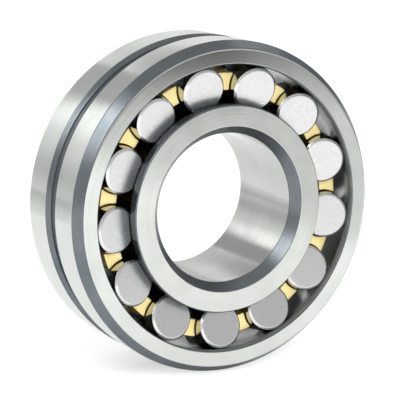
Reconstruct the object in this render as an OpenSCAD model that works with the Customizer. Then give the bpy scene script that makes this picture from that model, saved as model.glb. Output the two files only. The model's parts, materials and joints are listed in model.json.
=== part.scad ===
// Double row spherical roller bearing with a cylindrical bore, machined cage and lubrication groove.
// The bearing axis is Y, +Z is up and the origin is the centre of the spherical raceway.

/* [Boundary dimensions] */
// Bore of the inner ring
bore_d = 45; // [44:0.5:46]
// Outside diameter of the outer ring
outside_d = 100; // [99:0.5:104]
// Width of both rings
bearing_w = 36; // [35:0.5:38]

/* [Rollers] */
// Rollers in each of the two rows
rollers_per_row = 13; // [8:1:13]
// Largest diameter of a barrel shaped roller
roller_d = 14.4; // [13:0.1:14.6]
// Length of a roller
roller_len = 12.5; // [11.5:0.1:12.5]
// Bevel at each end of a roller
roller_bevel = 0.6; // [0.3:0.1:1]
// Contact angle of a row, measured from the middle plane
contact_angle = 14; // [13:0.1:15]
// Angle of the first front roller around the bearing axis
first_roller_angle = 73.8; // [0:0.1:360]

/* [Raceways] */
// Radius of the spherical raceway in the outer ring
raceway_r = 45.85; // [45.8:0.05:46]
// Gap between a roller and each raceway
running_gap = 0.1; // [0.05:0.01:0.12]
// Barrel profile radius as a share of the raceway radius
barrel_share = 0.975; // [0.95:0.005:0.98]

/* [Outer ring] */
// Radius of the openings at both sides of the raceway
opening_r = 43.1; // [43:0.1:43.4]
// Radial depth of the outside chamfers
outside_chamfer = 2.2; // [1:0.1:2.4]
// Width of the outside chamfers along the axis
outside_chamfer_w = 3.4; // [1:0.1:4]
// Width of the lubrication groove at the outside diameter
groove_w = 6.9; // [5:0.1:8]
// Depth of the lubrication groove
groove_depth = 1.2; // [0.5:0.1:1.5]
// Diameter of the oil holes
oil_hole_d = 3; // [2:0.5:4]
// Oil holes around the groove
oil_holes = 3; // [1:1:6]
// Angle of the first oil hole around the bearing axis
first_oil_hole_angle = 105; // [0:1:360]

/* [Inner ring] */
// Radius of the retaining ribs at both sides of the inner ring
rib_r = 31.25; // [31.1:0.05:31.4]
// Radius of the middle land that carries the guide ring
land_r = 32.6; // [32.4:0.1:32.8]
// Radial depth of the bore chamfers
bore_chamfer = 2.4; // [1:0.1:3]
// Width of the bore chamfers along the axis
bore_chamfer_w = 3.3; // [1:0.1:4]

/* [Guide ring] */
// Outside radius of the guide ring
guide_r = 34.5; // [34:0.1:34.6]
// Running gap between the guide ring and the middle land
guide_bore_gap = 0.08; // [0.04:0.01:0.1]

/* [Cage] */
// Inside radius of the cage
cage_in_r = 34.85; // [34.8:0.05:35.2]
// Outside radius of the cage
cage_out_r = 40.1; // [39:0.1:40.5]
// Length of the cage over its prongs
cage_w = 24.5; // [20:0.5:27]
// Outside radius of the band around the cage's web
band_r = 41.2; // [40.6:0.1:41.5]
// Width of the band around the cage's web
band_w = 5.2; // [3:0.2:5.2]
// Gap between a roller and its pocket wall
pocket_gap = 0.2; // [0.15:0.05:0.5]

/* [Hidden] */
front = -1;
rear = 1;
pitch_angle = 360 / rollers_per_row;
end_gap = 0.3;        // between a roller's end and the rib, guide ring or pocket floor
edge_break = 0.35;    // small chamfer on the sharp edges of the rings
relief_r = 0.45;      // radius of the grinding relief at the foot of each rib
slack = 60;           // reach of a cutting shape past the bearing
roller_r = roller_d / 2;
half_len = roller_len / 2;
half_w = bearing_w / 2;
barrel_r = barrel_share * raceway_r;
centre_distance = raceway_r - running_gap - roller_r;   // from the bearing centre to a roller's centre
roller_pitch_r = centre_distance * cos(contact_angle);
roller_offset = centre_distance * sin(contact_angle);
groove_floor_w = groove_w - 2 * groove_depth;
$fn = 180;

function two_digits(n) = str(n < 10 ? "0" : "", n);
function roller_name(row, n) = str(row, "_roller_", two_digits(n));
function barrel_at(y) = roller_r - barrel_r + sqrt(barrel_r * barrel_r - y * y);
function front_angle(n) = first_roller_angle + (n - 1) * pitch_angle;
function rear_angle(n) = front_angle(n) + pitch_angle / 2;

FRONT_ROLLERS = [for (n = [1:rollers_per_row]) roller_name("front", n)];
REAR_ROLLERS = [for (n = [1:rollers_per_row]) roller_name("rear", n)];

// Turns a profile of radius against axial place into a ring around the Y axis
module around_axis() {
    rotate([-90, 0, 0]) rotate_extrude() children();
}

// Carries a flat shape, drawn around the middle of a roller, to its place in a ring's profile
module beside_roller(row) {
    translate([roller_pitch_r, row * roller_offset]) rotate(row * contact_angle) children();
}

// The same for a solid, at an angle around the bearing axis
module at_roller(row, angle) {
    rotate([0, -angle, 0]) translate([roller_pitch_r, row * roller_offset, 0])
        rotate([0, 0, row * contact_angle]) children();
}

// The strip of a ring's profile that a row of rollers sweeps, with a gap at one or both ends
module roller_strip(row, inner_reach, outer_reach) {
    beside_roller(row)
        translate([-slack / 2, row > 0 ? -inner_reach : -outer_reach])
            square([slack, inner_reach + outer_reach]);
}

// Outline of the outer ring before the raceway is cut, with its chamfers and groove
module outer_blank() {
    out_r = outside_d / 2;
    floor_r = out_r - groove_depth;
    face_r = out_r - outside_chamfer;
    land_y = half_w - outside_chamfer_w;
    polygon([
        [opening_r - 1, -half_w], [face_r, -half_w], [out_r, -land_y],
        [out_r, -groove_w / 2], [floor_r, -groove_floor_w / 2],
        [floor_r, groove_floor_w / 2], [out_r, groove_w / 2],
        [out_r, land_y], [face_r, half_w], [opening_r - 1, half_w]
    ]);
}

module outer_ring() {
    color("lightsteelblue")
    difference() {
        around_axis() difference() {
            outer_blank();
            translate([0, -half_w - 1]) square([opening_r, bearing_w + 2]);
            circle(r = raceway_r);
            for (side = [front, rear]) translate([opening_r, side * half_w])
                rotate(45) square(edge_break * sqrt(2), center = true);
        }
        for (n = [0:oil_holes - 1])
            rotate([0, -first_oil_hole_angle - n * 360 / oil_holes, 0])
                translate([opening_r, 0, 0]) rotate([0, 90, 0])
                    cylinder(d = oil_hole_d, h = outside_d / 2);
    }
}

// Outline of the inner ring before its raceways are cut
module inner_blank() {
    bore_r = bore_d / 2;
    chamfer_y = half_w - bore_chamfer_w;
    polygon([
        [bore_r, -chamfer_y], [bore_r + bore_chamfer, -half_w],
        [rib_r - edge_break, -half_w], [rib_r, -half_w + edge_break],
        [rib_r, half_w - edge_break], [rib_r - edge_break, half_w],
        [bore_r + bore_chamfer, half_w], [bore_r, chamfer_y]
    ]);
    translate([bore_r, -roller_offset]) square([land_r - bore_r, 2 * roller_offset]);
}

// Raceway of one row in the inner ring: an arc that the barrel of the roller runs on, with a grinding
// relief where it meets the rib
module inner_raceway(row) {
    touch_r = roller_r + running_gap;
    intersection() {
        beside_roller(row) translate([raceway_r - touch_r, 0]) circle(r = raceway_r);
        roller_strip(row, slack / 2, half_len + end_gap);
    }
    beside_roller(row)
        translate([-barrel_at(half_len), row * (half_len + end_gap - relief_r)]) circle(r = relief_r);
}

module inner_ring() {
    color("lightsteelblue")
    around_axis() difference() {
        inner_blank();
        inner_raceway(front);
        inner_raceway(rear);
    }
}

module guide_ring() {
    bore_r = land_r + guide_bore_gap;
    color("slategray")
    around_axis() difference() {
        translate([bore_r, -roller_offset]) square([guide_r - bore_r, 2 * roller_offset]);
        roller_strip(front, half_len + end_gap, slack / 2);
        roller_strip(rear, half_len + end_gap, slack / 2);
    }
}

// Drilled pocket of one roller, open at the outer end
module pocket(row, angle) {
    at_roller(row, angle)
        rotate([-90 * row, 0, 0]) translate([0, 0, -half_len - end_gap])
            cylinder(r = roller_r + pocket_gap, h = slack / 2);
}

module cage() {
    color("goldenrod")
    difference() {
        around_axis() {
            translate([cage_in_r, -cage_w / 2]) square([cage_out_r - cage_in_r, cage_w]);
            translate([cage_in_r, -band_w / 2]) square([band_r - cage_in_r, band_w]);
        }
        for (n = [1:rollers_per_row]) {
            pocket(front, front_angle(n));
            pocket(rear, rear_angle(n));
        }
    }
}

// Half outline of a barrel roller with bevelled ends, around its own axis
module roller_profile() {
    shoulder = half_len - roller_bevel;
    shoulder_r = barrel_at(shoulder);
    face_r = barrel_at(half_len) - roller_bevel;
    intersection() {
        translate([roller_r - barrel_r, 0]) circle(r = barrel_r);
        polygon([
            [0, -half_len], [face_r, -half_len], [shoulder_r, -shoulder],
            [roller_r + 1, -shoulder], [roller_r + 1, shoulder],
            [shoulder_r, shoulder], [face_r, half_len], [0, half_len]
        ]);
    }
}

module barrel_roller(row, angle) {
    color("silver") at_roller(row, angle) around_axis() roller_profile();
}

outer_ring();
inner_ring();
guide_ring();
cage();
for (n = [1:rollers_per_row]) {
    barrel_roller(front, front_angle(n));
    barrel_roller(rear, rear_angle(n));
}
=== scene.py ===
"""A double row spherical roller bearing in ground steel, with a machined brass cage.

The bearing axis is Y with the front at -Y, +Z is up, and the origin is the centre of the
spherical raceway. The classes think in millimetres and hand their meshes over in metres. An
angle around the bearing runs from +X towards +Z.
"""
import json
import logging
import math
from dataclasses import dataclass, field
from enum import Enum, IntEnum

import bpy
import numpy as np
from mathutils import Matrix, Vector


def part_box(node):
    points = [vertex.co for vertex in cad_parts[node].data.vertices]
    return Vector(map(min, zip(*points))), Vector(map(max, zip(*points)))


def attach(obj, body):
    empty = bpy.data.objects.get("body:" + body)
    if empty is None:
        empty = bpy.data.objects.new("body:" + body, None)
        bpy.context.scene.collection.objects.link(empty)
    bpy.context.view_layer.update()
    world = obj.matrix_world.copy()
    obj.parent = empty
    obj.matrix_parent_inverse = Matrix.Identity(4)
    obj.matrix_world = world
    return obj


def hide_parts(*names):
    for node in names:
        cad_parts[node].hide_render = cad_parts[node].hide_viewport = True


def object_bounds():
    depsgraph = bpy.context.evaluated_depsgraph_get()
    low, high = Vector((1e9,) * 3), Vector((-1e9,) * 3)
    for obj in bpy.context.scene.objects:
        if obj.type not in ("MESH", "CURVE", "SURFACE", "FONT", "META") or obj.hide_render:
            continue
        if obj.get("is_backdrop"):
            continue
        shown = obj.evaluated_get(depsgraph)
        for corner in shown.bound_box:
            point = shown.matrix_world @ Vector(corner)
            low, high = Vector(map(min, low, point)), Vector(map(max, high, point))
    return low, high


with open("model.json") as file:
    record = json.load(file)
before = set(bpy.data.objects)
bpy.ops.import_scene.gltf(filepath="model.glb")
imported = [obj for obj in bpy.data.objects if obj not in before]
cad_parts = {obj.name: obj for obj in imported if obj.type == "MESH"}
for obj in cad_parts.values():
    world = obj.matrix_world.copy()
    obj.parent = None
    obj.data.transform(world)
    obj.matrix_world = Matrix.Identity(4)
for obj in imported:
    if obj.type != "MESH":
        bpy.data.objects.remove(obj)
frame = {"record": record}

MM = 0.001
MICROMETRE = 1e-6
SHARP_DEGREES = 38      # faces that meet at more than this keep a sharp edge between them
SUPPORT = 0.12          # longest stretch beside a fillet that keeps the shading flat up to it, mm
MARK_DETAIL = 3.0       # the tool marks' noise
MARK_ROUGHNESS = 0.65
ALONG_LAY = 30.0        # how fast tool marks change along the lay, in a metre
NOISE_LOW, NOISE_HIGH = 0.34, 0.66      # the range that most of a noise's values lie in
LOG = logging.getLogger("bearing")
Tone = tuple[float, float, float]


# ---------------------------------------------------------------- surfaces


@dataclass(frozen=True)
class Corner:
    """One corner of a turned profile.

    Attributes:
        radius: distance from the turning axis, mm.
        along: place along the turning axis, mm.
        finish: number of the finish on the stretch that leaves this corner.
        fillet: radius that rounds the corner, mm; 0 keeps it as a plain point of the profile.
    """

    radius: float
    along: float
    finish: int
    fillet: float = 0.0


@dataclass
class Profile:
    """A line of (radius, along) points in mm, with a finish number for each stretch."""

    points: np.ndarray
    finishes: np.ndarray
    closed: bool

    @staticmethod
    def drawn(corners: list[Corner], closed: bool, steps: int = 4) -> "Profile":
        """Draws a profile through corners, with each filleted corner turned into an arc.

        An arc touches both stretches at fillet / tan(half the corner's angle) from the corner,
        and its centre lies on the corner's bisector. A short support stretch lies on either
        side of the arc, so that shading bends only there.

        Args:
            corners: the corners in order.
            closed: whether the last corner joins the first.
            steps: stretches in an arc; an even number.

        Returns:
            The profile; a closed one repeats its first point at its end.
        """
        places = np.array([[c.radius, c.along] for c in corners])
        points: list[np.ndarray] = []
        finishes: list[int] = []
        for i, corner in enumerate(corners):
            before = corners[i - 1].finish
            if corner.fillet == 0.0:
                points.append(places[i])
                finishes.append(corner.finish)
                continue
            back = places[i - 1] - places[i]
            ahead = places[(i + 1) % len(corners)] - places[i]
            reach_back, reach_ahead = np.linalg.norm(back), np.linalg.norm(ahead)
            back, ahead = back / reach_back, ahead / reach_ahead
            half = 0.5 * math.acos(float(np.clip(back @ ahead, -1.0, 1.0)))
            cut = corner.fillet / math.tan(half)
            bisector = (back + ahead) / np.linalg.norm(back + ahead)
            centre = places[i] + bisector * corner.fillet / math.sin(half)
            start = places[i] + back * cut - centre
            end = places[i] + ahead * cut - centre
            share = np.linspace(0.0, 1.0, steps + 1)[:, None]
            sweep = math.pi - 2.0 * half
            arc = (np.sin((1 - share) * sweep) * start + np.sin(share * sweep) * end) / math.sin(sweep)
            lead = min(SUPPORT, 0.3 * (reach_back - cut))
            trail = min(SUPPORT, 0.3 * (reach_ahead - cut))
            points.append(places[i] + back * (cut + lead))
            finishes.append(before)
            points.extend(arc + centre)
            finishes.extend([before] * (steps // 2) + [corner.finish] * (steps - steps // 2))
            points.append(places[i] + ahead * (cut + trail))
            finishes.extend([corner.finish] * 2)
        line = np.array(points)
        if closed:
            line = np.vstack([line, line[:1]])
        return Profile(line, np.array(finishes[: len(line) - 1]), closed)

    def length(self) -> np.ndarray:
        """The distance along the profile to each of its points, mm."""
        steps = np.linalg.norm(np.diff(self.points, axis=0), axis=1)
        return np.concatenate([[0.0], np.cumsum(steps)])


@dataclass(frozen=True)
class Spindle:
    """The axis that a shape is turned about.

    Attributes:
        centre: a point on the axis, mm, where the profile's along is 0.
        axis: unit direction of the axis.
        start: unit direction, square to the axis, in which angles begin.
        across: unit direction, square to both, that angles turn towards.
    """

    centre: tuple[float, float, float] = (0.0, 0.0, 0.0)
    axis: tuple[float, float, float] = (0.0, 1.0, 0.0)
    start: tuple[float, float, float] = (1.0, 0.0, 0.0)
    across: tuple[float, float, float] = (0.0, 0.0, 1.0)

    @staticmethod
    def along(centre: np.ndarray, axis: np.ndarray) -> "Spindle":
        """A spindle whose angles start away from the bearing axis.

        Args:
            centre: a point on it, mm.
            axis: its direction.

        Returns:
            The spindle.
        """
        axis = axis / np.linalg.norm(axis)
        outward = np.array([centre[0], 0.0, centre[2]])
        start = outward - axis * (outward @ axis)
        start = start / np.linalg.norm(start)
        return Spindle(tuple(centre), tuple(axis), tuple(start), tuple(np.cross(axis, start)))

    def place(self, radius: np.ndarray, along: np.ndarray, angle: np.ndarray) -> np.ndarray:
        """Carries points to space: centre + axis * along + (start * cos + across * sin) * radius.

        Args:
            radius: distance of each point from the axis, mm.
            along: place of each point along the axis, mm.
            angle: angle of each point around the axis, radians.

        Returns:
            The points in mm, in an array with one more dimension than the inputs.
        """
        around = np.cos(angle)[..., None] * np.array(self.start)
        around = around + np.sin(angle)[..., None] * np.array(self.across)
        shift = along[..., None] * np.array(self.axis)
        return np.array(self.centre) + shift + radius[..., None] * around


@dataclass
class Grid:
    """A surface on a grid of rows and columns, whose last column lies on its first.

    Attributes:
        points: rows x columns x 3 places, mm.
        grain: rows x columns x 2; mm along the profile, then turns around.
        finishes: a finish number for each strip between two rows.
        loop: whether the last row lies on the first.
        poles: whether the first and the last row each close to one point.
    """

    points: np.ndarray
    grain: np.ndarray
    finishes: np.ndarray
    loop: bool = False
    poles: tuple[bool, bool] = (False, False)

    @staticmethod
    def turned(profile: Profile, spindle: Spindle, columns: int,
               poles: tuple[bool, bool] = (False, False)) -> "Grid":
        """Turns a profile about a spindle.

        Row i is the circle that point i of the profile makes; column j stands at the angle
        2 pi j / columns.

        Args:
            profile: the profile, in order.
            spindle: the axis.
            columns: faces around.
            poles: whether the profile's two ends lie on the axis.

        Returns:
            The grid.
        """
        turn = np.linspace(0.0, 1.0, columns + 1)
        radius, angle = np.meshgrid(profile.points[:, 0], turn * 2 * np.pi, indexing="ij")
        along = np.broadcast_to(profile.points[:, 1:], radius.shape)
        length, turns = np.meshgrid(profile.length(), turn, indexing="ij")
        return Grid(spindle.place(radius, along, angle), np.stack([length, turns], -1),
                    profile.finishes, profile.closed, poles)

    def faces(self) -> tuple[np.ndarray, np.ndarray, np.ndarray]:
        """Joins the grid into faces, with the seam, the loop and the poles closed.

        Returns:
            Corner numbers (faces x 4, in points' own flat order, with a corner repeated where a
            face touches a pole), the grain at each corner (faces x 4 x 2), and the finishes.
        """
        rows, columns = self.points.shape[:2]
        number = np.arange(rows * columns).reshape(rows, columns)
        number[:, -1] = number[:, 0]
        if self.loop:
            number[-1] = number[0]
        if self.poles[0]:
            number[0] = number[0, 0]
        if self.poles[1]:
            number[-1] = number[-1, 0]
        corners = four_corners(number).reshape(-1, 4)
        grain = np.stack([four_corners(self.grain[..., k]) for k in (0, 1)], -1).reshape(-1, 4, 2)
        return corners, grain, np.repeat(self.finishes, columns - 1)


def four_corners(values: np.ndarray) -> np.ndarray:
    """The values at the four corners of each cell of a grid, in order round the cell."""
    return np.stack([values[:-1, :-1], values[1:, :-1], values[1:, 1:], values[:-1, 1:]], 2)


def outward(
    points: np.ndarray, corners: np.ndarray, grain: np.ndarray
) -> tuple[np.ndarray, np.ndarray]:
    """Turns a closed surface's faces outwards.

    The volume is the sum over faces of a . (b x c) / 6 for both halves of each face; where it
    is negative, every face's corners are taken in the other order.

    Args:
        points: flat list of points, mm.
        corners: faces x 4 corner numbers.
        grain: faces x 4 x 2 map places.

    Returns:
        The corners and the grain, in the right order.
    """
    a, b, c, d = (points[corners[:, k]] for k in range(4))
    volume = np.einsum("ij,ij->i", a, np.cross(b, c)).sum()
    volume += np.einsum("ij,ij->i", a, np.cross(c, d)).sum()
    if volume < 0:
        return corners[:, ::-1], grain[:, ::-1]
    return corners, grain


def linked_object(name: str, data: bpy.types.ID) -> bpy.types.Object:
    """Makes an object and links it into the scene.

    Args:
        name: name of the object.
        data: its data.

    Returns:
        The object.
    """
    made = bpy.data.objects.new(name, data)
    bpy.context.scene.collection.objects.link(made)
    return made


def make_mesh(name: str, grids: list[Grid]) -> bpy.types.Mesh:
    """Puts closed grids into one mesh, with a map named grain and smooth shading.

    Args:
        name: name of the mesh.
        grids: the surfaces, each closed in itself.

    Returns:
        The mesh, in metres.
    """
    places, polygons, maps, finishes, first = [], [], [], [], 0
    for grid in grids:
        points = grid.points.reshape(-1, 3)
        corners, grain, finish = grid.faces()
        corners, grain = outward(points, corners, grain)
        keep = corners != np.roll(corners, 1, axis=1)
        whole = keep.all(axis=1)
        used, numbers = np.unique(corners, return_inverse=True)
        numbers = numbers.reshape(corners.shape) + first
        for part, size in ((whole, 4), (~whole, 3)):
            polygons += numbers[part][keep[part]].reshape(-1, size).tolist()
            maps.append(grain[part][keep[part]])
            finishes.append(finish[part])
        places.append(points[used])
        first += len(used)
    mesh = bpy.data.meshes.new(name)
    mesh.from_pydata(np.concatenate(places) * MM, [], polygons)
    layer = mesh.uv_layers.new(name="grain")
    layer.data.foreach_set("uv", np.concatenate(maps).astype(np.float32).ravel())
    mesh.polygons.foreach_set("material_index", np.concatenate(finishes).astype(np.int32))
    mesh.polygons.foreach_set("use_smooth", np.ones(len(polygons), dtype=bool))
    mesh.set_sharp_from_angle(angle=math.radians(SHARP_DEGREES))
    mesh.update()
    return mesh


def make_piece(
    name: str, mesh: bpy.types.Mesh, finishes: list["Finish"], body: str
) -> bpy.types.Object:
    """Makes a mesh a piece of the bearing, in place of the CAD node of the same body.

    Args:
        name: name of the piece.
        mesh: its mesh, in its place.
        finishes: the finishes, in the order of the mesh's finish numbers.
        body: the CAD body it rides on, which is also the node it replaces.

    Returns:
        The new object.
    """
    piece = linked_object(name, mesh)
    for finish in finishes:
        mesh.materials.append(finish.material())
    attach(piece, body)
    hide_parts(body)
    LOG.info("%s: %d faces, rides on %s", name, len(mesh.polygons), body)
    return piece


# ---------------------------------------------------------------- finishes


def fed(
    tree: bpy.types.NodeTree, node: bpy.types.Node, **inputs: object
) -> bpy.types.NodeSocket | None:
    """Fills a node's inputs.

    Args:
        tree: the node tree it stands in.
        node: the node.
        inputs: for each input, by its name with _ for a space, the socket that feeds it or its
            constant.

    Returns:
        The node's first enabled output, or None where it has none.
    """
    for name, value in inputs.items():
        socket = node.inputs[name.replace("_", " ")]
        if isinstance(value, bpy.types.NodeSocket):
            tree.links.new(value, socket)
        else:
            socket.default_value = value
    return next((s for s in node.outputs if s.enabled), None)


class Lay(Enum):
    """Which way the tool marks of a finish run."""

    ROUND = "round"    # rings around the turning axis
    PLAIN = "plain"    # no direction, as after tumbling or lapping


@dataclass(frozen=True)
class Finish:
    """A machined metal surface.

    The tone drifts between two colours with the tool marks and with a slow cloudiness, and the
    same marks set the roughness and raise a very low relief.

    Attributes:
        name: name of the material.
        tone: reflected colour where the marks are clean.
        drift: reflected colour that the tone drifts to.
        smooth: roughness at its lowest.
        rough: roughness at its highest.
        lay: direction of the tool marks.
        marks: tool marks in a millimetre.
        relief: height of the marks, micrometres.
        stretch: 0 to 1, how much more the gloss spreads across the marks than along them.
        cloud: size of the slow cloudiness, mm.
        cloudiness: 0 to 1, how much of the drift comes from the cloudiness.
        metal: 1 for clean metal; less where torn or tarnished metal also scatters light.
        grazing: 0 to 1, how much of the full glare is left where light only grazes the surface.
    """

    name: str
    tone: Tone
    drift: Tone
    smooth: float
    rough: float
    lay: Lay = Lay.ROUND
    marks: float = 6.0
    relief: float = 1.0
    stretch: float = 0.0
    cloud: float = 9.0
    cloudiness: float = 0.5
    metal: float = 1.0
    grazing: float = 1.0

    def material(self) -> bpy.types.Material:
        """The finish as a material, made the first time it is asked for.

        Returns:
            The material.
        """
        ready = bpy.data.materials.get(self.name)
        if ready:
            return ready
        made = bpy.data.materials.new(self.name)
        made.use_nodes = True
        tree = made.node_tree
        tree.nodes.clear()
        marks = self._marks(tree)
        cloud = self._cloud(tree)
        share = self._mixed(tree, marks, cloud)
        shader = tree.nodes.new("ShaderNodeBsdfPrincipled")
        surface = fed(tree, shader, Metallic=self.metal, Anisotropic=self.stretch,
                      Specular_Tint=(self.grazing,) * 3 + (1.0,), Base_Color=self._tone(tree, share),
                      Roughness=self._roughness(tree, share), Normal=self._relief(tree, marks))
        if self.stretch > 0.0:
            tangent = tree.nodes.new("ShaderNodeTangent")
            tangent.direction_type = "UV_MAP"
            tangent.uv_map = "grain"
            fed(tree, shader, Tangent=tangent.outputs["Tangent"])
        fed(tree, tree.nodes.new("ShaderNodeOutputMaterial"), Surface=surface)
        return made

    def _marks(self, tree: bpy.types.NodeTree) -> bpy.types.NodeSocket:
        """The tool marks: noise that changes fast across the lay and slowly along it.

        Args:
            tree: the node tree it goes in.

        Returns:
            Their height, 0 to 1.
        """
        where = tree.nodes.new("ShaderNodeTexCoord").outputs["Object"]
        noise = tree.nodes.new("ShaderNodeTexNoise")
        if self.lay is Lay.PLAIN:
            return fed(tree, noise, Detail=MARK_DETAIL, Roughness=MARK_ROUGHNESS,
                       Scale=self.marks / MM, Vector=where)
        noise.noise_dimensions = "4D"
        grain = tree.nodes.new("ShaderNodeUVMap")
        grain.uv_map = "grain"
        split = tree.nodes.new("ShaderNodeSeparateXYZ")
        lines = tree.nodes.new("ShaderNodeMath")
        lines.operation = "MULTIPLY"
        lines.inputs[1].default_value = self.marks
        tree.links.new(fed(tree, split, Vector=grain.outputs["UV"]), lines.inputs[0])
        slow = tree.nodes.new("ShaderNodeVectorMath")
        slow.operation = "SCALE"
        tree.links.new(where, slow.inputs[0])
        return fed(tree, noise, Detail=MARK_DETAIL, Roughness=MARK_ROUGHNESS, Scale=1.0,
                   W=lines.outputs["Value"], Vector=fed(tree, slow, Scale=ALONG_LAY))

    def _cloud(self, tree: bpy.types.NodeTree) -> bpy.types.NodeSocket:
        """The slow cloudiness, from noise in space.

        Args:
            tree: the node tree it goes in.

        Returns:
            The cloudiness, 0 to 1.
        """
        where = tree.nodes.new("ShaderNodeTexCoord").outputs["Object"]
        noise = tree.nodes.new("ShaderNodeTexNoise")
        return fed(tree, noise, Scale=1.0 / (self.cloud * MM), Detail=2.0, Vector=where)

    def _mixed(self, tree: bpy.types.NodeTree, marks: bpy.types.NodeSocket,
               cloud: bpy.types.NodeSocket) -> bpy.types.NodeSocket:
        """Marks and cloudiness in their shares, with the noise's middle range spread out.

        Args:
            tree: the node tree it goes in.
            marks: the tool marks.
            cloud: the cloudiness.

        Returns:
            The mixture, 0 to 1.
        """
        mix = tree.nodes.new("ShaderNodeMix")
        mix.data_type = "FLOAT"
        mixed = fed(tree, mix, Factor=self.cloudiness, A=marks, B=cloud)
        spread = tree.nodes.new("ShaderNodeMapRange")
        return fed(tree, spread, From_Min=NOISE_LOW, From_Max=NOISE_HIGH, Value=mixed)

    def _tone(self, tree: bpy.types.NodeTree, share: bpy.types.NodeSocket) -> bpy.types.NodeSocket:
        """The colour between tone and drift.

        Args:
            tree: the node tree it goes in.
            share: 0 for tone, 1 for drift.

        Returns:
            The colour.
        """
        ramp = tree.nodes.new("ShaderNodeValToRGB")
        ramp.color_ramp.elements[0].color = (*self.tone, 1.0)
        ramp.color_ramp.elements[1].color = (*self.drift, 1.0)
        return fed(tree, ramp, Fac=share)

    def _roughness(self, tree: bpy.types.NodeTree, share: bpy.types.NodeSocket) -> bpy.types.NodeSocket:
        """The roughness between smooth and rough."""
        spread = tree.nodes.new("ShaderNodeMapRange")
        return fed(tree, spread, To_Min=self.smooth, To_Max=self.rough, Value=share)

    def _relief(self, tree: bpy.types.NodeTree, marks: bpy.types.NodeSocket) -> bpy.types.NodeSocket:
        """The normal over the marks' relief."""
        bump = tree.nodes.new("ShaderNodeBump")
        return fed(tree, bump, Strength=1.0, Distance=self.relief * MICROMETRE, Height=marks)


GROUND_FACE = Finish(
    "ground_face", (0.65, 0.67, 0.645), (0.56, 0.58, 0.555), 0.08, 0.15, marks=4.0, relief=1.0
)
GROUND_RIB = Finish(
    "ground_rib", (0.61, 0.625, 0.60), (0.53, 0.545, 0.52), 0.09, 0.16, marks=4.0, relief=1.0
)
GROUND_LAND = Finish(
    "ground_land", (0.575, 0.595, 0.57), (0.51, 0.53, 0.505), 0.10, 0.15, marks=4.0, relief=0.6,
    stretch=0.4
)
GROUND_BORE = Finish(
    "ground_bore", (0.51, 0.52, 0.50), (0.45, 0.46, 0.44), 0.11, 0.17, marks=4.0, relief=0.6,
    stretch=0.4
)
BLUED_STEEL = Finish(
    "blued_steel", (0.165, 0.182, 0.193), (0.125, 0.142, 0.153), 0.15, 0.25, marks=3.0,
    relief=1.5, cloudiness=0.7, grazing=0.3, metal=0.8
)
# A lighter copy of blued_steel with more glare, used on the bore chamfers: painted light that stands in
# for the brighter reflections there.
BLUED_LEAD_PAINTED_LIGHT = Finish(
    "blued_lead_painted_light", (0.185, 0.202, 0.215), (0.145, 0.162, 0.175), 0.16, 0.28, marks=3.0,
    relief=1.5, cloudiness=0.7, grazing=0.5, metal=0.8
)
TURNED_LIP = Finish(
    "turned_lip", (0.34, 0.35, 0.35), (0.24, 0.25, 0.25), 0.40, 0.52, marks=3.0, relief=2.0,
    metal=0.6, grazing=0.4
)
# Darker than the other ground steel: painted shade for the raceways, which lie inside the bearing
# between the rings and the rollers.
HONED_RACEWAY_PAINTED_SHADE = Finish(
    "honed_raceway_painted_shade", (0.36, 0.37, 0.365), (0.28, 0.29, 0.285), 0.14, 0.24, marks=6.0, relief=0.5
)
ROLLER_END = Finish(
    "roller_end", (0.70, 0.705, 0.70), (0.60, 0.605, 0.60), 0.26, 0.34, Lay.PLAIN, marks=2.2,
    relief=3.0, cloudiness=0.2
)
# Lighter than the roller ends' own steel: a painted highlight on the bevels round the rollers' ends.
ROLLER_EDGE_PAINTED_HIGHLIGHT = Finish(
    "roller_edge_painted_highlight", (0.80, 0.80, 0.81), (0.74, 0.74, 0.75), 0.22, 0.30, marks=4.0, relief=0.6
)
ROLLER_BARREL = Finish(
    "roller_barrel", (0.60, 0.61, 0.61), (0.54, 0.55, 0.55), 0.12, 0.18, marks=9.0, relief=0.2
)
BRASS_FACED = Finish(
    "brass_faced", (0.97, 0.83, 0.40), (0.90, 0.74, 0.32), 0.36, 0.46, marks=4.0, relief=1.5,
    cloudiness=0.6, cloud=5.0, metal=0.5
)
BRASS_DRILLED = Finish(
    "brass_drilled", (0.86, 0.64, 0.26), (0.72, 0.50, 0.17), 0.38, 0.50, marks=3.0, relief=2.0,
    cloud=5.0, metal=0.6
)
BRASS_TURNED = Finish(
    "brass_turned", (0.86, 0.67, 0.30), (0.75, 0.55, 0.22), 0.34, 0.44, marks=3.0, relief=2.0,
    cloud=6.0, metal=0.7
)
SINTERED_IRON = Finish(
    "sintered_iron", (0.22, 0.225, 0.23), (0.15, 0.155, 0.16), 0.35, 0.5, Lay.PLAIN, marks=4.0,
    relief=3.0
)


# ---------------------------------------------------------------- the bearing's pieces


class RingFinish(IntEnum):
    """Finish numbers on the two rings."""

    FACE = 0
    LAND = 1
    BLUED = 2
    RACEWAY = 3
    BORE = 4
    # the bore chamfers, whose lighter blued steel is painted light
    LEAD = 5
    RIB = 6
    LIP = 7


RING_FINISHES = [
    GROUND_FACE, GROUND_LAND, BLUED_STEEL, HONED_RACEWAY_PAINTED_SHADE, GROUND_BORE, BLUED_LEAD_PAINTED_LIGHT, GROUND_RIB,
    TURNED_LIP
]


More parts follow.
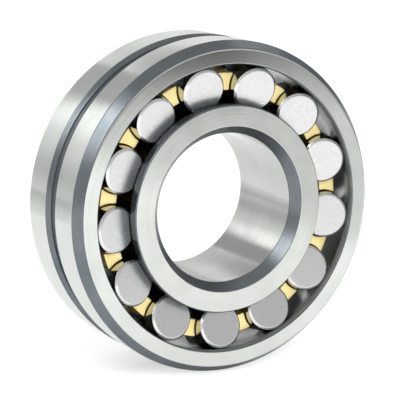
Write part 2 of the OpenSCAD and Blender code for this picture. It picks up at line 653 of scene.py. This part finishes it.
@dataclass
class OuterRing:
    """The outer ring, with a spherical raceway and a lubrication groove with oil holes.

    Attributes:
        outside_r: radius of the outside diameter.
        half_w: half of the ring's width.
        face_r: radius where the front face meets the outside chamfer.
        land_y: where the outside chamfer meets the outside diameter, from the middle plane.
        opening_r: radius of the opening beside the raceway.
        raceway_r: radius of the spherical raceway.
        groove_w: width of the groove at the outside diameter.
        groove_depth: depth of the groove.
        oil_hole_r: radius of an oil hole.
        oil_hole_angles: angles of the oil holes around the bearing, degrees.
        edge_break: width of the small chamfers at the openings.
        columns: faces around.
    """

    outside_r: float
    half_w: float
    face_r: float = 47.75
    land_y: float = 14.6
    opening_r: float = 43.1
    raceway_r: float = 45.85
    groove_w: float = 6.9
    groove_depth: float = 1.2
    oil_hole_r: float = 1.5
    oil_hole_angles: tuple[float, ...] = (105.0, 225.0, 345.0)
    edge_break: float = 0.35
    columns: int = 360

    def profile(self) -> Profile:
        """The ring's section: straight stretches joined by small fillets, and the raceway's arc.

        Returns:
            The profile.
        """
        blued, land, face, lip = RingFinish.BLUED, RingFinish.LAND, RingFinish.FACE, RingFinish.LIP
        floor_r = self.outside_r - self.groove_depth
        groove = self.groove_w / 2
        floor = groove - self.groove_depth
        shoulder = math.sqrt(self.raceway_r ** 2 - self.opening_r ** 2)
        front = [
            Corner(self.opening_r, -self.half_w + self.edge_break, blued, 0.08),
            Corner(self.opening_r + self.edge_break, -self.half_w, face, 0.08),
            Corner(self.face_r, -self.half_w, blued, 0.9),
            Corner(self.outside_r, -self.land_y, land, 0.8),
            Corner(self.outside_r, -groove, blued, 0.15),
            Corner(floor_r, -floor, blued, 0.5),
            Corner(floor_r, floor, blued, 0.5),
            Corner(self.outside_r, groove, land, 0.15),
            Corner(self.outside_r, self.land_y, blued, 0.8),
            Corner(self.face_r, self.half_w, face, 0.9),
            Corner(self.opening_r + self.edge_break, self.half_w, blued, 0.08),
            Corner(self.opening_r, self.half_w - self.edge_break, lip, 0.08),
        ]
        reach = math.asin(shoulder / self.raceway_r)
        sweep = np.linspace(reach, -reach, 61)
        race = [
            Corner(self.raceway_r * math.cos(t), self.raceway_r * math.sin(t), RingFinish.RACEWAY)
            for t in sweep
        ]
        race[-1] = Corner(race[-1].radius, race[-1].along, lip)
        return Profile.drawn(front + race, closed=True)

    def oil_hole_cutter(self) -> bpy.types.Object:
        """One mesh of closed pins, each flared at the groove's floor, that bore the oil holes.

        Returns:
            The pins' object.
        """
        floor_r = self.outside_r - self.groove_depth
        inside_r = self.raceway_r - 2.0
        flare = 0.35
        blued = RingFinish.BLUED
        pin = Profile.drawn([
            Corner(0.0, inside_r, blued),
            Corner(self.oil_hole_r, inside_r, blued),
            Corner(self.oil_hole_r, floor_r - flare, blued),
            Corner(self.oil_hole_r + 2 * flare, floor_r + flare, blued),
            Corner(0.0, floor_r + flare, blued),
        ], closed=False)
        pins = []
        for angle in np.radians(self.oil_hole_angles):
            way = (math.cos(angle), 0.0, math.sin(angle))
            side = (-math.sin(angle), 0.0, math.cos(angle))
            across = Spindle(axis=way, start=(0.0, 1.0, 0.0), across=side)
            pins.append(Grid.turned(pin, across, 48, (True, True)))
        cutter = linked_object("oil_hole_cutter", make_mesh("oil_hole_cutter", pins))
        for finish in RING_FINISHES:
            cutter.data.materials.append(finish.material())
        return cutter

    def build(self) -> bpy.types.Object:
        """Turns the ring, bores the oil holes and dresses it.

        Returns:
            The ring's object.
        """
        turned = Grid.turned(self.profile(), Spindle(), self.columns)
        mesh = make_mesh("outer_ring_surface", [turned])
        ring = make_piece("outer_ring_surface", mesh, RING_FINISHES, "outer_ring")
        cutter = self.oil_hole_cutter()
        bore = ring.modifiers.new("oil_holes", "BOOLEAN")
        bore.operation = "DIFFERENCE"
        bore.solver = "EXACT"
        bore.object = cutter
        evaluated = ring.evaluated_get(bpy.context.evaluated_depsgraph_get())
        bored = bpy.data.meshes.new_from_object(evaluated)
        ring.modifiers.clear()
        ring.data = bored
        bored.name = "outer_ring_surface_bored"
        bpy.data.meshes.remove(mesh)
        bpy.data.meshes.remove(cutter.data)
        return ring


@dataclass
class InnerRing:
    """The inner ring, with two barrel raceways, retaining ribs and a middle land.

    Attributes:
        bore_r: radius of the bore.
        half_w: half of the ring's width.
        bore_face_r: radius where the bore chamfer meets the face.
        bore_y: where the bore chamfer meets the bore, from the middle plane.
        rib_r: radius of the retaining ribs.
        land_r: radius of the middle land.
        raceway_r: radius of the raceways' arcs.
        row: place and tilt of a row of rollers.
        edge_break: width of the small chamfers on the ribs.
        columns: faces around.
    """

    bore_r: float
    half_w: float
    row: "Row"
    bore_face_r: float = 24.93
    bore_y: float = 14.7
    rib_r: float = 31.25
    land_r: float = 32.6
    raceway_r: float = 45.85
    edge_break: float = 0.35
    columns: int = 360

    def profile(self) -> Profile:
        """The ring's section: bore, chamfers, faces and ribs with fillets, and the raceways' arcs.

        Returns:
            The profile.
        """
        blued, face = RingFinish.BLUED, RingFinish.RIB
        row = self.row
        arc = row.raceway_arc(self.raceway_r, self.land_r)
        foot = arc[-1]
        rib_y = foot[1] + (self.rib_r - foot[0]) * math.tan(math.radians(row.contact_angle))
        rear_race = [Corner(r, y, RingFinish.RACEWAY) for r, y in arc]
        rear_race[-1] = Corner(*arc[-1], blued)
        front_race = [Corner(r, -y, RingFinish.RACEWAY) for r, y in arc[::-1]]
        front_race[-1] = Corner(arc[0][0], -arc[0][1], RingFinish.RACEWAY)
        corners = front_race + rear_race + [
            Corner(self.rib_r, rib_y, blued, 0.15),
            Corner(self.rib_r, self.half_w - self.edge_break, blued, 0.08),
            Corner(self.rib_r - self.edge_break, self.half_w, face, 0.08),
            Corner(self.bore_face_r, self.half_w, RingFinish.LEAD, 0.3),
            Corner(self.bore_r, self.bore_y, RingFinish.BORE, 0.5),
            Corner(self.bore_r, -self.bore_y, RingFinish.LEAD, 0.5),
            Corner(self.bore_face_r, -self.half_w, face, 0.3),
            Corner(self.rib_r - self.edge_break, -self.half_w, blued, 0.08),
            Corner(self.rib_r, -self.half_w + self.edge_break, blued, 0.08),
            Corner(self.rib_r, -rib_y, blued, 0.15),
        ]
        return Profile.drawn(corners, closed=True)

    def build(self) -> bpy.types.Object:
        """Turns the ring and dresses it.

        Returns:
            The ring's object.
        """
        turned = Grid.turned(self.profile(), Spindle(), self.columns)
        mesh = make_mesh("inner_ring_surface", [turned])
        return make_piece("inner_ring_surface", mesh, RING_FINISHES, "inner_ring")


@dataclass(frozen=True)
class Row:
    """Where a row of rollers lies in the bearing's section, on the rear side.

    Attributes:
        pitch_r: distance of a roller's centre from the bearing axis.
        offset: distance of a roller's centre from the middle plane.
        contact_angle: tilt of the row, degrees.
        roller_r: largest radius of a roller.
        half_len: half of a roller's length.
        barrel_r: radius of a roller's barrel profile.
        gap: gap between roller and raceway.
        end_gap: gap between a roller's end and what it faces.
        count: rollers in the row.
    """

    pitch_r: float
    offset: float
    contact_angle: float
    roller_r: float = 7.2
    half_len: float = 6.25
    barrel_r: float = 44.7
    gap: float = 0.1
    end_gap: float = 0.3
    count: int = 13

    def at(self, out: float, side: float) -> tuple[float, float]:
        """Carries a place beside a roller to the bearing's section.

        Args:
            out: distance outwards from the roller's centre, square to its axis.
            side: distance along its axis, away from the middle plane.

        Returns:
            (radius, along) of the place.
        """
        tilt = math.radians(self.contact_angle)
        return (self.pitch_r + out * math.cos(tilt) - side * math.sin(tilt),
                self.offset + out * math.sin(tilt) + side * math.cos(tilt))

    def flank(self, radius: float) -> float:
        """Distance from the middle plane, at a radius, of the cone beside the rollers' inner ends."""
        near = self.at(0.0, -self.half_len - self.end_gap)
        return near[1] + (radius - near[0]) * math.tan(math.radians(self.contact_angle))

    def barrel(self, side: np.ndarray) -> np.ndarray:
        """Radius of a roller at a place along its own axis: a circle of barrel_r set back."""
        return self.roller_r - self.barrel_r + np.sqrt(self.barrel_r ** 2 - side ** 2)

    def raceway_arc(self, raceway_r: float, land_r: float) -> np.ndarray:
        """The inner raceway in the section, from the middle land's edge to the rib.

        A circle of raceway_r whose centre lies on the contact line at raceway_r - roller_r - gap
        outwards of the roller's centre. A point of it lies out = centre - sqrt(raceway_r squared
        - side squared) from the roller's centre. The arc starts where its radius comes down to
        land_r.

        Args:
            raceway_r: radius of the arc.
            land_r: radius of the middle land.

        Returns:
            Rows of (radius, along), mm.
        """
        centre = raceway_r - self.roller_r - self.gap
        side = np.linspace(-self.half_len * 1.6, self.half_len + self.end_gap, 60)
        out = centre - np.sqrt(raceway_r ** 2 - side ** 2)
        tilt = math.radians(self.contact_angle)
        radius = self.pitch_r + out * math.cos(tilt) - side * math.sin(tilt)
        along = self.offset + out * math.sin(tilt) + side * math.cos(tilt)
        inside = radius <= land_r
        start = int(np.argmax(inside))
        share = (radius[start - 1] - land_r) / (radius[start - 1] - radius[start])
        edge = along[start - 1] + share * (along[start] - along[start - 1])
        arc = np.stack([radius[start:], along[start:]], -1)
        return np.vstack([[land_r, edge], arc])


@dataclass
class GuideRing:
    """The loose ring between the rows, which the rollers' inner ends run against.

    Attributes:
        row: the rows' place.
        bore_r: radius of its bore.
        outside_r: radius of its outside.
        edge: radius of the rounded edges.
        columns: faces around.
    """

    row: Row
    bore_r: float = 32.68
    outside_r: float = 34.5
    edge: float = 0.12
    columns: int = 240

    def build(self) -> bpy.types.Object:
        """Turns the ring from four corners whose sides follow the rollers' ends, and dresses it.

        Returns:
            The ring's object.
        """
        inner, outer, flank = self.bore_r, self.outside_r, self.row.flank
        corners = [
            Corner(radius, side * flank(radius), 0, self.edge)
            for radius, side in ((inner, -1), (outer, -1), (outer, 1), (inner, 1))
        ]
        turned = Grid.turned(Profile.drawn(corners, True), Spindle(), self.columns)
        mesh = make_mesh("guide_ring_surface", [turned])
        return make_piece("guide_ring_surface", mesh, [SINTERED_IRON], "guide_ring")


class CageFinish(IntEnum):
    """Finish numbers on the cage."""

    FACED = 0
    DRILLED = 1
    TURNED = 2


@dataclass
class Cage:
    """The one-piece cage: a web in the middle and a comb of prongs on both sides.

    Attributes:
        row: the rows' place.
        first_angles: angle of the first roller of the front and of the rear row, degrees.
        inside_r: radius of the cage's bore.
        outside_r: radius of the cage's outside.
        half_w: half of the cage's length over its prongs.
        pocket_r: radius of a pocket.
        band_r: outside radius of the band around the web.
        half_band: half of the band's width.
        edge: radius of the rounded edges.
        base_y: where a prong starts, from the middle plane.
        around: faces around a prong.
        steps: rows along a prong.
        columns: faces around the web.
        squareness: power of the curve that a prong's section follows.
    """

    row: Row
    first_angles: tuple[float, float]
    inside_r: float = 34.85
    outside_r: float = 40.1
    half_w: float = 12.25
    pocket_r: float = 7.4
    band_r: float = 41.2
    half_band: float = 2.6
    edge: float = 0.22
    base_y: float = 3.2
    around: int = 64
    steps: int = 20
    columns: int = 260
    squareness: int = 14

    def half_angle(self, radius: np.ndarray, along: np.ndarray) -> np.ndarray:
        """Half of a prong's width, as an angle around the bearing axis, in radians.

        A pocket is a cylinder tilted by the contact angle. Where its wall meets the circle of
        this radius in the plane at this place along the axis, the wall stands at the angle
        arccos(x / radius) from the pocket's middle, with x from
        x squared sin squared + 2 x a cos squared = a squared cos squared + radius squared -
        pocket_r squared, where a is the radius of the pocket's axis in that plane. What is left
        of half a pitch is the prong.

        Args:
            radius: distance from the bearing axis, mm.
            along: distance from the middle plane, mm.

        Returns:
            The half angle for each point.
        """
        tilt = math.radians(self.row.contact_angle)
        sine, cosine = math.sin(tilt) ** 2, math.cos(tilt) ** 2
        axis_r = self.row.pitch_r - (along - self.row.offset) * math.tan(tilt)
        right = axis_r ** 2 * cosine + radius ** 2 - self.pocket_r ** 2
        x = (-axis_r * cosine + np.sqrt(axis_r ** 2 * cosine ** 2 + sine * right)) / sine
        return math.pi / self.row.count - np.arccos(np.clip(x / radius, -1.0, 1.0))

    def prong(self, angle: float, side: int) -> Grid:
        """One prong, a closed thimble that leaves the web and ends in a flat faced tip.

        Each row goes round the prong's section: the section is a rounded rectangle in the plane
        of (share of half_angle, share of radius), bounded by the cage's bore and outside and by
        the walls of the two pockets beside it. Towards the tip the rows turn over a quarter
        circle of radius edge, and then shrink to the middle of the tip.

        Args:
            angle: the prong's place around the bearing, degrees.
            side: -1 for the front comb, 1 for the rear one.

        Returns:
            The prong's grid.
        """
        straight = np.linspace(self.base_y, self.half_w - self.edge, self.steps)
        over = np.radians(np.linspace(18.0, 90.0, 5))
        shrink = np.array([0.55, 0.2, 0.0])
        rows_y = np.concatenate([
            [self.base_y], straight, self.half_w - self.edge * (1 - np.sin(over)),
            np.full(len(shrink), self.half_w)
        ])
        inset = np.concatenate([
            [0.0], np.zeros(self.steps), self.edge * (1 - np.cos(over)),
            np.full(len(shrink), self.edge)
        ])
        keep = np.concatenate([[0.0], np.ones(self.steps + len(over)), shrink])
        across, deep = self.section()
        middle_r = 0.5 * (self.inside_r + self.outside_r)
        half_deep = 0.5 * (self.outside_r - self.inside_r)
        radius = middle_r + keep[:, None] * (half_deep - inset[:, None]) * deep[None, :]
        along = np.broadcast_to(rows_y[:, None], radius.shape)
        half = self.half_angle(radius, along) - inset[:, None] / radius
        theta = math.radians(angle) + keep[:, None] * half * across[None, :]
        points = Spindle().place(radius, side * along, theta)
        girth = np.linspace(0.0, 1.0, self.around + 1)
        steps = np.linalg.norm(np.diff(points[:, 0], axis=0), axis=1)
        length = np.concatenate([[0.0], np.cumsum(steps)])
        grain = np.stack(np.meshgrid(length, girth, indexing="ij"), -1)
        finishes = np.full(len(rows_y) - 1, CageFinish.DRILLED)
        finishes[self.steps + 3:] = CageFinish.FACED
        return Grid(points, grain, finishes, poles=(True, True))

    def section(self) -> tuple[np.ndarray, np.ndarray]:
        """A rounded square from -1 to 1 both ways, as (across, deep) round it.

        Points of the curve |across| to the power squareness + |deep| to the power squareness = 1,
        spread evenly in angle, so that the corners are rounded and the sides nearly straight.

        Returns:
            across and deep.
        """
        t = np.linspace(0.0, 2 * np.pi, self.around + 1)
        cos, sin = np.cos(t), np.sin(t)
        power = self.squareness
        reach = (np.abs(cos) ** power + np.abs(sin) ** power) ** (-1 / power)
        return cos * reach, sin * reach

    def web(self) -> Grid:
        """The web between the rows with its band, turned; its flanks are the pockets' floors.

        Returns:
            The web's grid.
        """
        inner, outer, flank = self.inside_r, self.outside_r, self.row.flank
        drilled, turned = CageFinish.DRILLED, CageFinish.TURNED
        corners = [
            Corner(inner, -flank(inner), drilled, 0.15),
            Corner(outer, -flank(outer), turned, 0.1),
            Corner(outer, -self.half_band, turned, 0.1),
            Corner(self.band_r, -self.half_band, turned, 0.15),
            Corner(self.band_r, self.half_band, turned, 0.15),
            Corner(outer, self.half_band, turned, 0.1),
            Corner(outer, flank(outer), drilled, 0.1),
            Corner(inner, flank(inner), turned, 0.15),
        ]
        return Grid.turned(Profile.drawn(corners, True), Spindle(), self.columns)

    def build(self) -> bpy.types.Object:
        """Joins web and prongs in one mesh and dresses it.

        Returns:
            The cage's object.
        """
        grids = [self.web()]
        pitch = 360 / self.row.count
        for side, first in zip((-1, 1), self.first_angles):
            grids += [self.prong(first + (n + 0.5) * pitch, side) for n in range(self.row.count)]
        mesh = make_mesh("cage_surface", grids)
        finishes = [BRASS_FACED, BRASS_DRILLED, BRASS_TURNED]
        return make_piece("cage_surface", mesh, finishes, "cage")


class RollerFinish(IntEnum):
    """Finish numbers on a roller."""

    END = 0
    # the bevels, whose lighter steel is a painted highlight
    EDGE = 1
    BARREL = 2


@dataclass
class BarrelRoller:
    """One barrel shaped roller.

    Attributes:
        name: its CAD body.
        centre: its centre, mm.
        axis: direction of its axis.
        row: the rows' sizes.
        bevel: width of the bevel at each end.
        columns: faces around.
    """

    name: str
    centre: np.ndarray
    axis: np.ndarray
    row: Row
    bevel: float = 0.6
    columns: int = 96

    def profile(self) -> Profile:
        """Half a section: flat end, bevel with rounded edges, barrel arc, and the same again.

        Returns:
            The profile.
        """
        half = self.row.half_len
        shoulder = half - self.bevel
        shoulder_r = float(self.row.barrel(np.array(shoulder)))
        end_r = float(self.row.barrel(np.array(half))) - self.bevel
        end, edge, barrel = RollerFinish.END, RollerFinish.EDGE, RollerFinish.BARREL
        barrel_end = shoulder - 0.6
        side = np.linspace(-barrel_end, barrel_end, 23)
        middle = [Corner(r, y, barrel) for r, y in zip(self.row.barrel(side), side)]
        front = [
            Corner(0.0, -half, end),
            Corner(end_r * 0.5, -half, end),
            Corner(end_r, -half, edge, 0.35),
            Corner(shoulder_r, -shoulder, barrel, 0.3),
        ]
        rear = [
            Corner(shoulder_r, shoulder, edge, 0.3),
            Corner(end_r, half, end, 0.35),
            Corner(end_r * 0.5, half, end),
            Corner(0.0, half, end),
        ]
        return Profile.drawn(front + middle + rear, closed=False)

    def build(self) -> bpy.types.Object:
        """Turns the roller in its place and dresses it.

        Returns:
            The roller's object.
        """
        spindle = Spindle.along(self.centre, self.axis)
        grid = Grid.turned(self.profile(), spindle, self.columns, (True, True))
        name = self.name + "_surface"
        finishes = [ROLLER_END, ROLLER_EDGE_PAINTED_HIGHLIGHT, ROLLER_BARREL]
        return make_piece(name, make_mesh(name, [grid]), finishes, self.name)


# ---------------------------------------------------------------- the studio


GLOW_SCALE = 6.0


@dataclass
class Card:
    """A flat card that only reflections see, glowing in bands from its foot to its head.

    Attributes:
        name: name of the card.
        foot: the left and the right end of its lower edge, m.
        head: the left and the right end of its upper edge, m.
        glow: (share of the way from foot to head, brightness) of each band, in order.
    """

    name: str
    foot: tuple[tuple[float, float, float], tuple[float, float, float]]
    head: tuple[tuple[float, float, float], tuple[float, float, float]]
    glow: list[tuple[float, float]]

    @staticmethod
    def facing(
        name: str, azimuths: tuple[float, float], elevations: tuple[float, float],
        distance: float, glow: list[tuple[float, float]]
    ) -> "Card":
        """A card seen from the bearing between two azimuths and two elevations.

        Args:
            name: name of the card.
            azimuths: its two sides, degrees; 0 is in front at -Y and 90 at +X.
            elevations: its foot and its head, degrees.
            distance: distance from the bearing, m.
            glow: the bands.

        Returns:
            The card.
        """
        def corner(azimuth: float, elevation: float) -> tuple[float, float, float]:
            """The point in a direction, at distance measured along the floor.

            Args:
                azimuth: the direction around the bearing, degrees.
                elevation: the direction's height, degrees.

            Returns:
                The point, m.
            """
            a = math.radians(azimuth)
            height = distance * math.tan(math.radians(elevation))
            return (distance * math.sin(a), -distance * math.cos(a), height)

        foot, head = ((corner(azimuths[0], e), corner(azimuths[1], e)) for e in elevations)
        return Card(name, foot, head, glow)

    def build(self) -> bpy.types.Object:
        """Makes the card's sheet and its glowing surface.

        Returns:
            The card's object.
        """
        mesh = bpy.data.meshes.new(self.name)
        mesh.from_pydata([*self.foot, *self.head[::-1]], [], [(0, 1, 2, 3)])
        layer = mesh.uv_layers.new(name="height")
        layer.data.foreach_set("uv", [0.0, 0.0, 1.0, 0.0, 1.0, 1.0, 0.0, 1.0])
        card = linked_object(self.name, mesh)
        cloth = bpy.data.materials.new(self.name)
        cloth.use_nodes = True
        tree = cloth.node_tree
        tree.nodes.clear()
        height = tree.nodes.new("ShaderNodeUVMap")
        height.uv_map = "height"
        split = tree.nodes.new("ShaderNodeSeparateXYZ")
        fed(tree, split, Vector=height.outputs["UV"])
        shine = fed(tree, tree.nodes.new("ShaderNodeEmission"), Strength=GLOW_SCALE,
                    Color=grey_ramp(tree, split.outputs["Y"], self.glow))
        fed(tree, tree.nodes.new("ShaderNodeOutputMaterial"), Surface=shine)
        mesh.materials.append(cloth)
        card.visible_camera = False
        card.visible_diffuse = False
        card.visible_shadow = False
        card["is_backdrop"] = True
        return card


def grey_ramp(tree: bpy.types.NodeTree, value: bpy.types.NodeSocket,
              stops: list[tuple[float, float]]) -> bpy.types.NodeSocket:
    """A grey ramp over a value. Its greys are brightness / GLOW_SCALE, so that none passes 1.

    Args:
        tree: the node tree it goes in.
        value: 0 to 1.
        stops: (value, brightness), in order.

    Returns:
        The ramp's colour.
    """
    ramp = tree.nodes.new("ShaderNodeValToRGB")
    elements = ramp.color_ramp.elements
    while len(elements) < len(stops):
        elements.new(0.5)
    for element, (place, glow) in zip(elements, stops):
        element.position = place
        element.color = (glow / GLOW_SCALE,) * 3 + (1.0,)
    return fed(tree, ramp, Fac=value)


@dataclass
class Studio:
    """A pale glowing floor in a white light tent, with cards that shape the steel's reflections.

    Attributes:
        floor_z: height of the floor, m.
        floor_size: side of the floor, m.
        floor_glow: 0 to 1, how much of the floor's light is its own.
        glow_gain: brightness of a floor that only glows.
        white: brightness of the tent to the eye and to the floor.
        key_power: power of the lamp in front, W.
        key_place: its place, m; it faces the origin.
        key_size: its diameter, m.
    """

    floor_z: float
    floor_size: float = 12.0
    floor_glow: float = 0.45
    glow_gain: float = 1.15
    white: float = 1.12
    key_power: float = 17.0
    key_place: tuple[float, float, float] = (-0.25, -1.3, 0.8)
    key_size: float = 0.9

    def floor(self) -> bpy.types.Object:
        """A plain pale sheet under the bearing, lit partly from below as a light table is.

        Returns:
            The sheet's object.
        """
        half = self.floor_size / 2
        mesh = bpy.data.meshes.new("floor")
        corners = [(-half, -half), (half, -half), (half, half), (-half, half)]
        mesh.from_pydata([(x, y, self.floor_z) for x, y in corners], [], [(0, 1, 2, 3)])
        sheet = linked_object("floor", mesh)
        paper = bpy.data.materials.new("white_paper")
        paper.use_nodes = True
        tree = paper.node_tree
        shader = tree.nodes["Principled BSDF"]
        white = 1.0 - self.floor_glow
        fed(tree, shader, Base_Color=(white, white, white, 1.0), Roughness=0.9,
            Specular_IOR_Level=0.0, Emission_Color=(1.0, 1.0, 1.0, 1.0),
            Emission_Strength=self.glow_gain * self.floor_glow)
        mesh.materials.append(paper)
        sheet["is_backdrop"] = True
        return sheet

    def tent(self) -> None:
        """The light all round: white to the eye and to the floor, graded for reflections.

        For reflections the brightness follows the height of the ray: a ramp over the sine of its
        elevation, mixed between a front and a back ramp by how far the ray points to the back.
        """
        world = bpy.data.worlds.new("tent")
        bpy.context.scene.world = world
        world.use_nodes = True
        tree = world.node_tree
        tree.nodes.clear()
        where = tree.nodes.new("ShaderNodeTexCoord")
        split = tree.nodes.new("ShaderNodeSeparateXYZ")
        fed(tree, split, Vector=where.outputs["Generated"])
        front = grey_ramp(tree, split.outputs["Z"],
                          [(0.0, 0.76), (0.12, 0.68), (0.3, 0.7), (0.6, 0.55), (0.9, 0.5)])
        back = grey_ramp(tree, split.outputs["Z"],
                         [(0.0, 0.66), (0.17, 0.72), (0.38, 0.7), (0.5, 0.55), (0.9, 0.45)])
        turn = fed(tree, tree.nodes.new("ShaderNodeMapRange"), From_Min=-0.25, From_Max=0.25,
                   Value=split.outputs["Y"])
        both = tree.nodes.new("ShaderNodeMix")
        both.data_type = "RGBA"
        graded = fed(tree, both, Factor=turn, A=front, B=back)
        path = tree.nodes.new("ShaderNodeLightPath")
        pick = tree.nodes.new("ShaderNodeMix")
        pick.data_type = "RGBA"
        light = fed(tree, pick, Factor=path.outputs["Is Glossy Ray"],
                    A=(self.white / GLOW_SCALE,) * 3 + (1.0,), B=graded)
        shine = fed(tree, tree.nodes.new("ShaderNodeBackground"), Strength=GLOW_SCALE, Color=light)
        fed(tree, tree.nodes.new("ShaderNodeOutputWorld"), Surface=shine)

    def cards(self) -> list[Card]:
        """What stands in front of the bearing, behind it and at its sides.

        Returns:
            The cards, not yet built.
        """
        low = self.floor_z
        ground = low + 0.0002
        return [
            Card("front_floor_shade", ((0.13, -0.15, ground), (0.55, -0.15, ground)),
                 ((0.12, -0.60, ground), (0.70, -0.60, ground)),
                 [(0.0, 1.0), (0.65, 0.95), (0.76, 0.85), (0.9, 0.62), (1.0, 0.45)]),
            Card("front_flag", ((0.12, -0.60, low), (0.345, -0.60, low)),
                 ((0.12, -0.60, 0.03), (0.345, -0.60, 0.03)),
                 [(0.0, 0.35), (0.1, 0.08), (0.2, 0.02), (0.8, 0.04), (1.0, 0.3)]),
            Card("front_flag_side", ((0.345, -0.60, low), (0.70, -0.60, low)),
                 ((0.345, -0.60, 0.03), (0.70, -0.60, 0.03)),
                 [(0.0, 0.55), (0.15, 0.25), (0.8, 0.22), (1.0, 0.4)]),
            Card("back_floor_shade", ((-0.45, 0.2, ground), (-0.05, 0.2, ground)),
                 ((-0.45, 0.5, ground), (-0.05, 0.5, ground)), [(0.0, 1.1), (0.5, 0.8), (1.0, 0.7)]),
            Card("back_left_box", ((-0.42, 0.5, low), (-0.28, 0.5, low)),
                 ((-0.42, 0.5, 0.29), (-0.15, 0.5, 0.29)),
                 [(0.0, 0.9), (0.22, 0.74), (0.32, 0.8), (0.48, 1.05), (0.62, 1.15), (0.72, 1.6),
                  (0.88, 2.0)]),
            Card("back_right_box", ((0.0, 0.5, 0.06), (0.34, 0.5, 0.06)),
                 ((0.0, 0.5, 0.32), (0.34, 0.5, 0.19)),
                 [(0.0, 0.85), (0.6, 1.0), (1.0, 1.1)]),
            Card.facing("left_box", (256.0, 302.0), (20.0, 60.0), 1.0,
                        [(0.0, 1.4), (0.1, 2.8), (0.24, 5.0), (0.53, 5.0), (0.7, 2.0), (1.0, 1.2)]),
            Card.facing("right_box", (103.0, 133.0), (32.0, 54.0), 1.0, [(0.0, 1.4), (1.0, 1.4)]),
        ]

    def key_lamp(self) -> bpy.types.Object:
        """A wide soft lamp over the camera's shoulder; steel doesn't mirror it.

        Returns:
            The lamp's object.
        """
        light = bpy.data.lights.new("key_lamp", "AREA")
        light.shape = "DISK"
        light.size = self.key_size
        light.energy = self.key_power
        lamp = linked_object("key_lamp", light)
        place = Vector(self.key_place)
        turn = place.to_track_quat("Z", "Y").to_matrix().to_4x4()
        lamp.matrix_world = Matrix.Translation(place) @ turn
        lamp.visible_glossy = False
        return lamp

    def build(self) -> None:
        """Sets up the floor, the tent, the lamp and the cards."""
        self.floor()
        self.tent()
        self.key_lamp()
        for card in self.cards():
            card.build()
        bpy.context.scene.view_settings.view_transform = "Standard"


@dataclass
class Viewpoint:
    """The camera, at a three-quarter view from the left and slightly above.

    Attributes:
        azimuth: 0 looks along +Y and 90 along -X, degrees.
        elevation: height above the horizon, degrees.
        distance: distance to the aim, mm.
        lens: focal length, mm.
        aim_right: how far right of the bearing's centre the camera aims, mm.
        aim_up: how far above the bearing's centre the camera aims, mm.
    """

    azimuth: float = -28.87
    elevation: float = 11.83
    distance: float = 546.3
    lens: float = 161.8
    aim_right: float = -0.193
    aim_up: float = -0.333

    def build(self) -> bpy.types.Object:
        """Makes the camera and gives it to the scene.

        Returns:
            The camera's object.
        """
        a, e = math.radians(self.azimuth), math.radians(self.elevation)
        back = Vector((math.sin(a) * math.cos(e), -math.cos(a) * math.cos(e), math.sin(e)))
        right = Vector((math.cos(a), math.sin(a), 0.0))
        up = back.cross(right)
        place = (right * self.aim_right + up * self.aim_up + back * self.distance) * MM
        lens = bpy.data.cameras.new("camera")
        lens.lens = self.lens
        lens.sensor_width = 36.0
        lens.clip_start = 0.01
        lens.clip_end = 50.0
        camera = linked_object("camera", lens)
        turn = Matrix((right, up, back)).transposed().to_4x4()
        camera.matrix_world = Matrix.Translation(place) @ turn
        bpy.context.scene.camera = camera
        return camera


# ---------------------------------------------------------------- the whole


@dataclass
class Bearing:
    """The whole bearing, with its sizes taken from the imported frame."""

    row: Row = field(init=False)
    spins: dict[str, dict] = field(init=False)

    def __post_init__(self) -> None:
        """Reads the rollers' places from their joints, and the rows' place from one of them."""
        joints = frame["record"]["behaviour"]["joints"]
        self.spins = {j["child"]: j for j in joints if "_roller_" in j["child"]}
        first = self.spins["rear_roller_01"]
        x, y, z = np.array(first["pos_m"]) / MM
        tilt = math.degrees(math.acos(first["axis"][1]))
        self.row = Row(pitch_r=math.hypot(x, z), offset=abs(y), contact_angle=tilt,
                       count=len(self.spins) // 2)

    def angle_of(self, roller: str) -> float:
        """The angle of a roller around the bearing, degrees."""
        x, _, z = self.spins[roller]["pos_m"]
        return math.degrees(math.atan2(z, x))

    def build(self) -> None:
        """Builds every piece of the bearing in order."""
        low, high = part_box("outer_ring")
        outside_r = min(-low[0], high[0], -low[2], high[2]) / MM
        half_w = min(-low[1], high[1]) / MM
        bore = next(m for m in frame["record"]["mounts"] if m["name"] == "bore")
        OuterRing(outside_r, half_w).build()
        InnerRing(bore["dims"]["r_mm"], half_w, self.row).build()
        GuideRing(self.row).build()
        Cage(self.row, (self.angle_of("front_roller_01"), self.angle_of("rear_roller_01"))).build()
        for name, spin in self.spins.items():
            centre, axis = np.array(spin["pos_m"]) / MM, np.array(spin["axis"])
            BarrelRoller(name, centre, axis, self.row).build()


def main() -> None:
    """Builds the camera, the studio and the bearing."""
    logging.basicConfig(level=logging.INFO, format="%(name)s: %(message)s")
    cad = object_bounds()
    Viewpoint().build()
    Studio(floor_z=cad[0][2]).build()
    Bearing().build()


if __name__ == "__main__":
    main()
